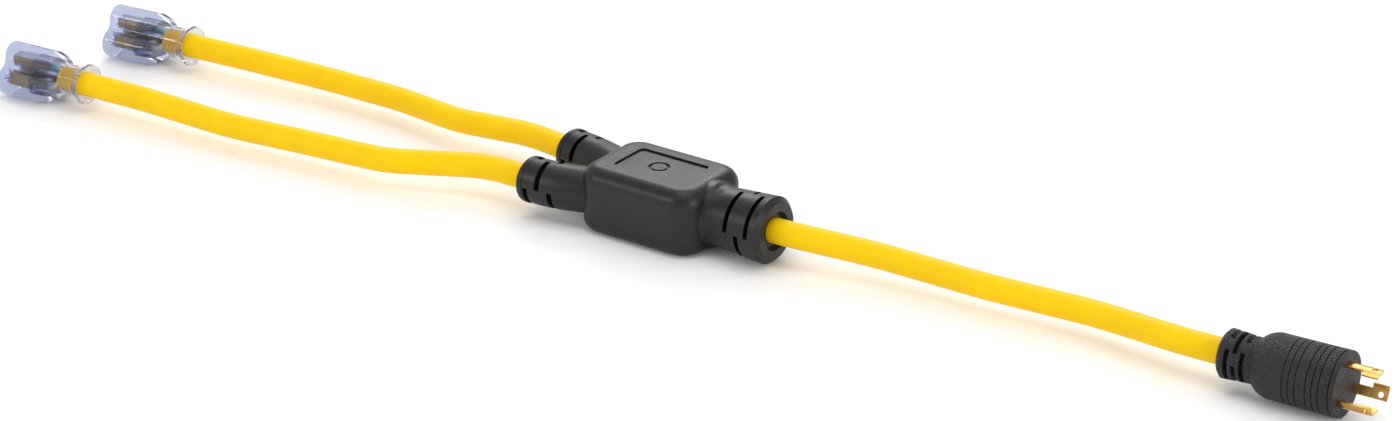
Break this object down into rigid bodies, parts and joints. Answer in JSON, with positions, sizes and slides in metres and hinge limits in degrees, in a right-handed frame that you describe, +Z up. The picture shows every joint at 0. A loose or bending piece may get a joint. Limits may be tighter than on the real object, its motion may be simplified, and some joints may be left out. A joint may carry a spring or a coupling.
{
  "type": "y splitter power adapter cord",
  "caption": "Heavy-duty Y-splitter power adapter cord: a locking plug on a yellow trunk cable, a black moulded junction, and branch cables to clear three-lobed outlet connectors",
  "frame": {"origin": "on the floor under the middle of the junction, where the three cable axes meet", "axes": "+X from the junction to the plug, the branches run to -X, +Y to the side of branch B, +Z up"},
  "size_m": [1.0474, 0.1437, 0.0465],
  "materials": {
    "black_overmould": "satin moulded",
    "plug_overmould": "fine grain moulded",
    "inner_core": "plain moulded",
    "yellow_jacket": "satin",
    "line_insulation": "smooth",
    "neutral_insulation": "smooth",
    "ground_insulation": "smooth",
    "copper": "bright",
    "brass": "bright stamped",
    "clear_tint": "clear tinted",
    "carrier_tint": "tinted"
  },
  "bodies": {
    "root": {"junction_body": "black_overmould", "junction_core": "inner_core", "line_splice": "copper", "neutral_splice": "copper", "ground_splice": "copper", "trunk_jacket": "yellow_jacket", "trunk_line_insulation": "line_insulation", "trunk_line_copper": "copper", "trunk_neutral_insulation": "neutral_insulation", "trunk_neutral_copper": "copper", "trunk_ground_insulation": "ground_insulation", "trunk_ground_copper": "copper", "branch_a_jacket": "yellow_jacket", "branch_a_line_insulation": "line_insulation", "branch_a_line_copper": "copper", "branch_a_neutral_insulation": "neutral_insulation", "branch_a_neutral_copper": "copper", "branch_a_ground_insulation": "ground_insulation", "branch_a_ground_copper": "copper", "branch_b_jacket": "yellow_jacket", "branch_b_line_insulation": "line_insulation", "branch_b_line_copper": "copper", "branch_b_neutral_insulation": "neutral_insulation", "branch_b_neutral_copper": "copper", "branch_b_ground_insulation": "ground_insulation", "branch_b_ground_copper": "copper", "plug_body": "plug_overmould", "plug_face": "plug_overmould", "plug_line_blade": "brass", "plug_neutral_blade": "brass", "plug_ground_blade": "brass", "connector_a_body": "clear_tint", "connector_a_contact_carrier": "carrier_tint", "connector_a_line_contact": "brass", "connector_a_neutral_contact": "brass", "connector_a_ground_contact": "brass", "connector_b_body": "clear_tint", "connector_b_contact_carrier": "carrier_tint", "connector_b_line_contact": "brass", "connector_b_neutral_contact": "brass", "connector_b_ground_contact": "brass"}
  },
  "joints": []
}
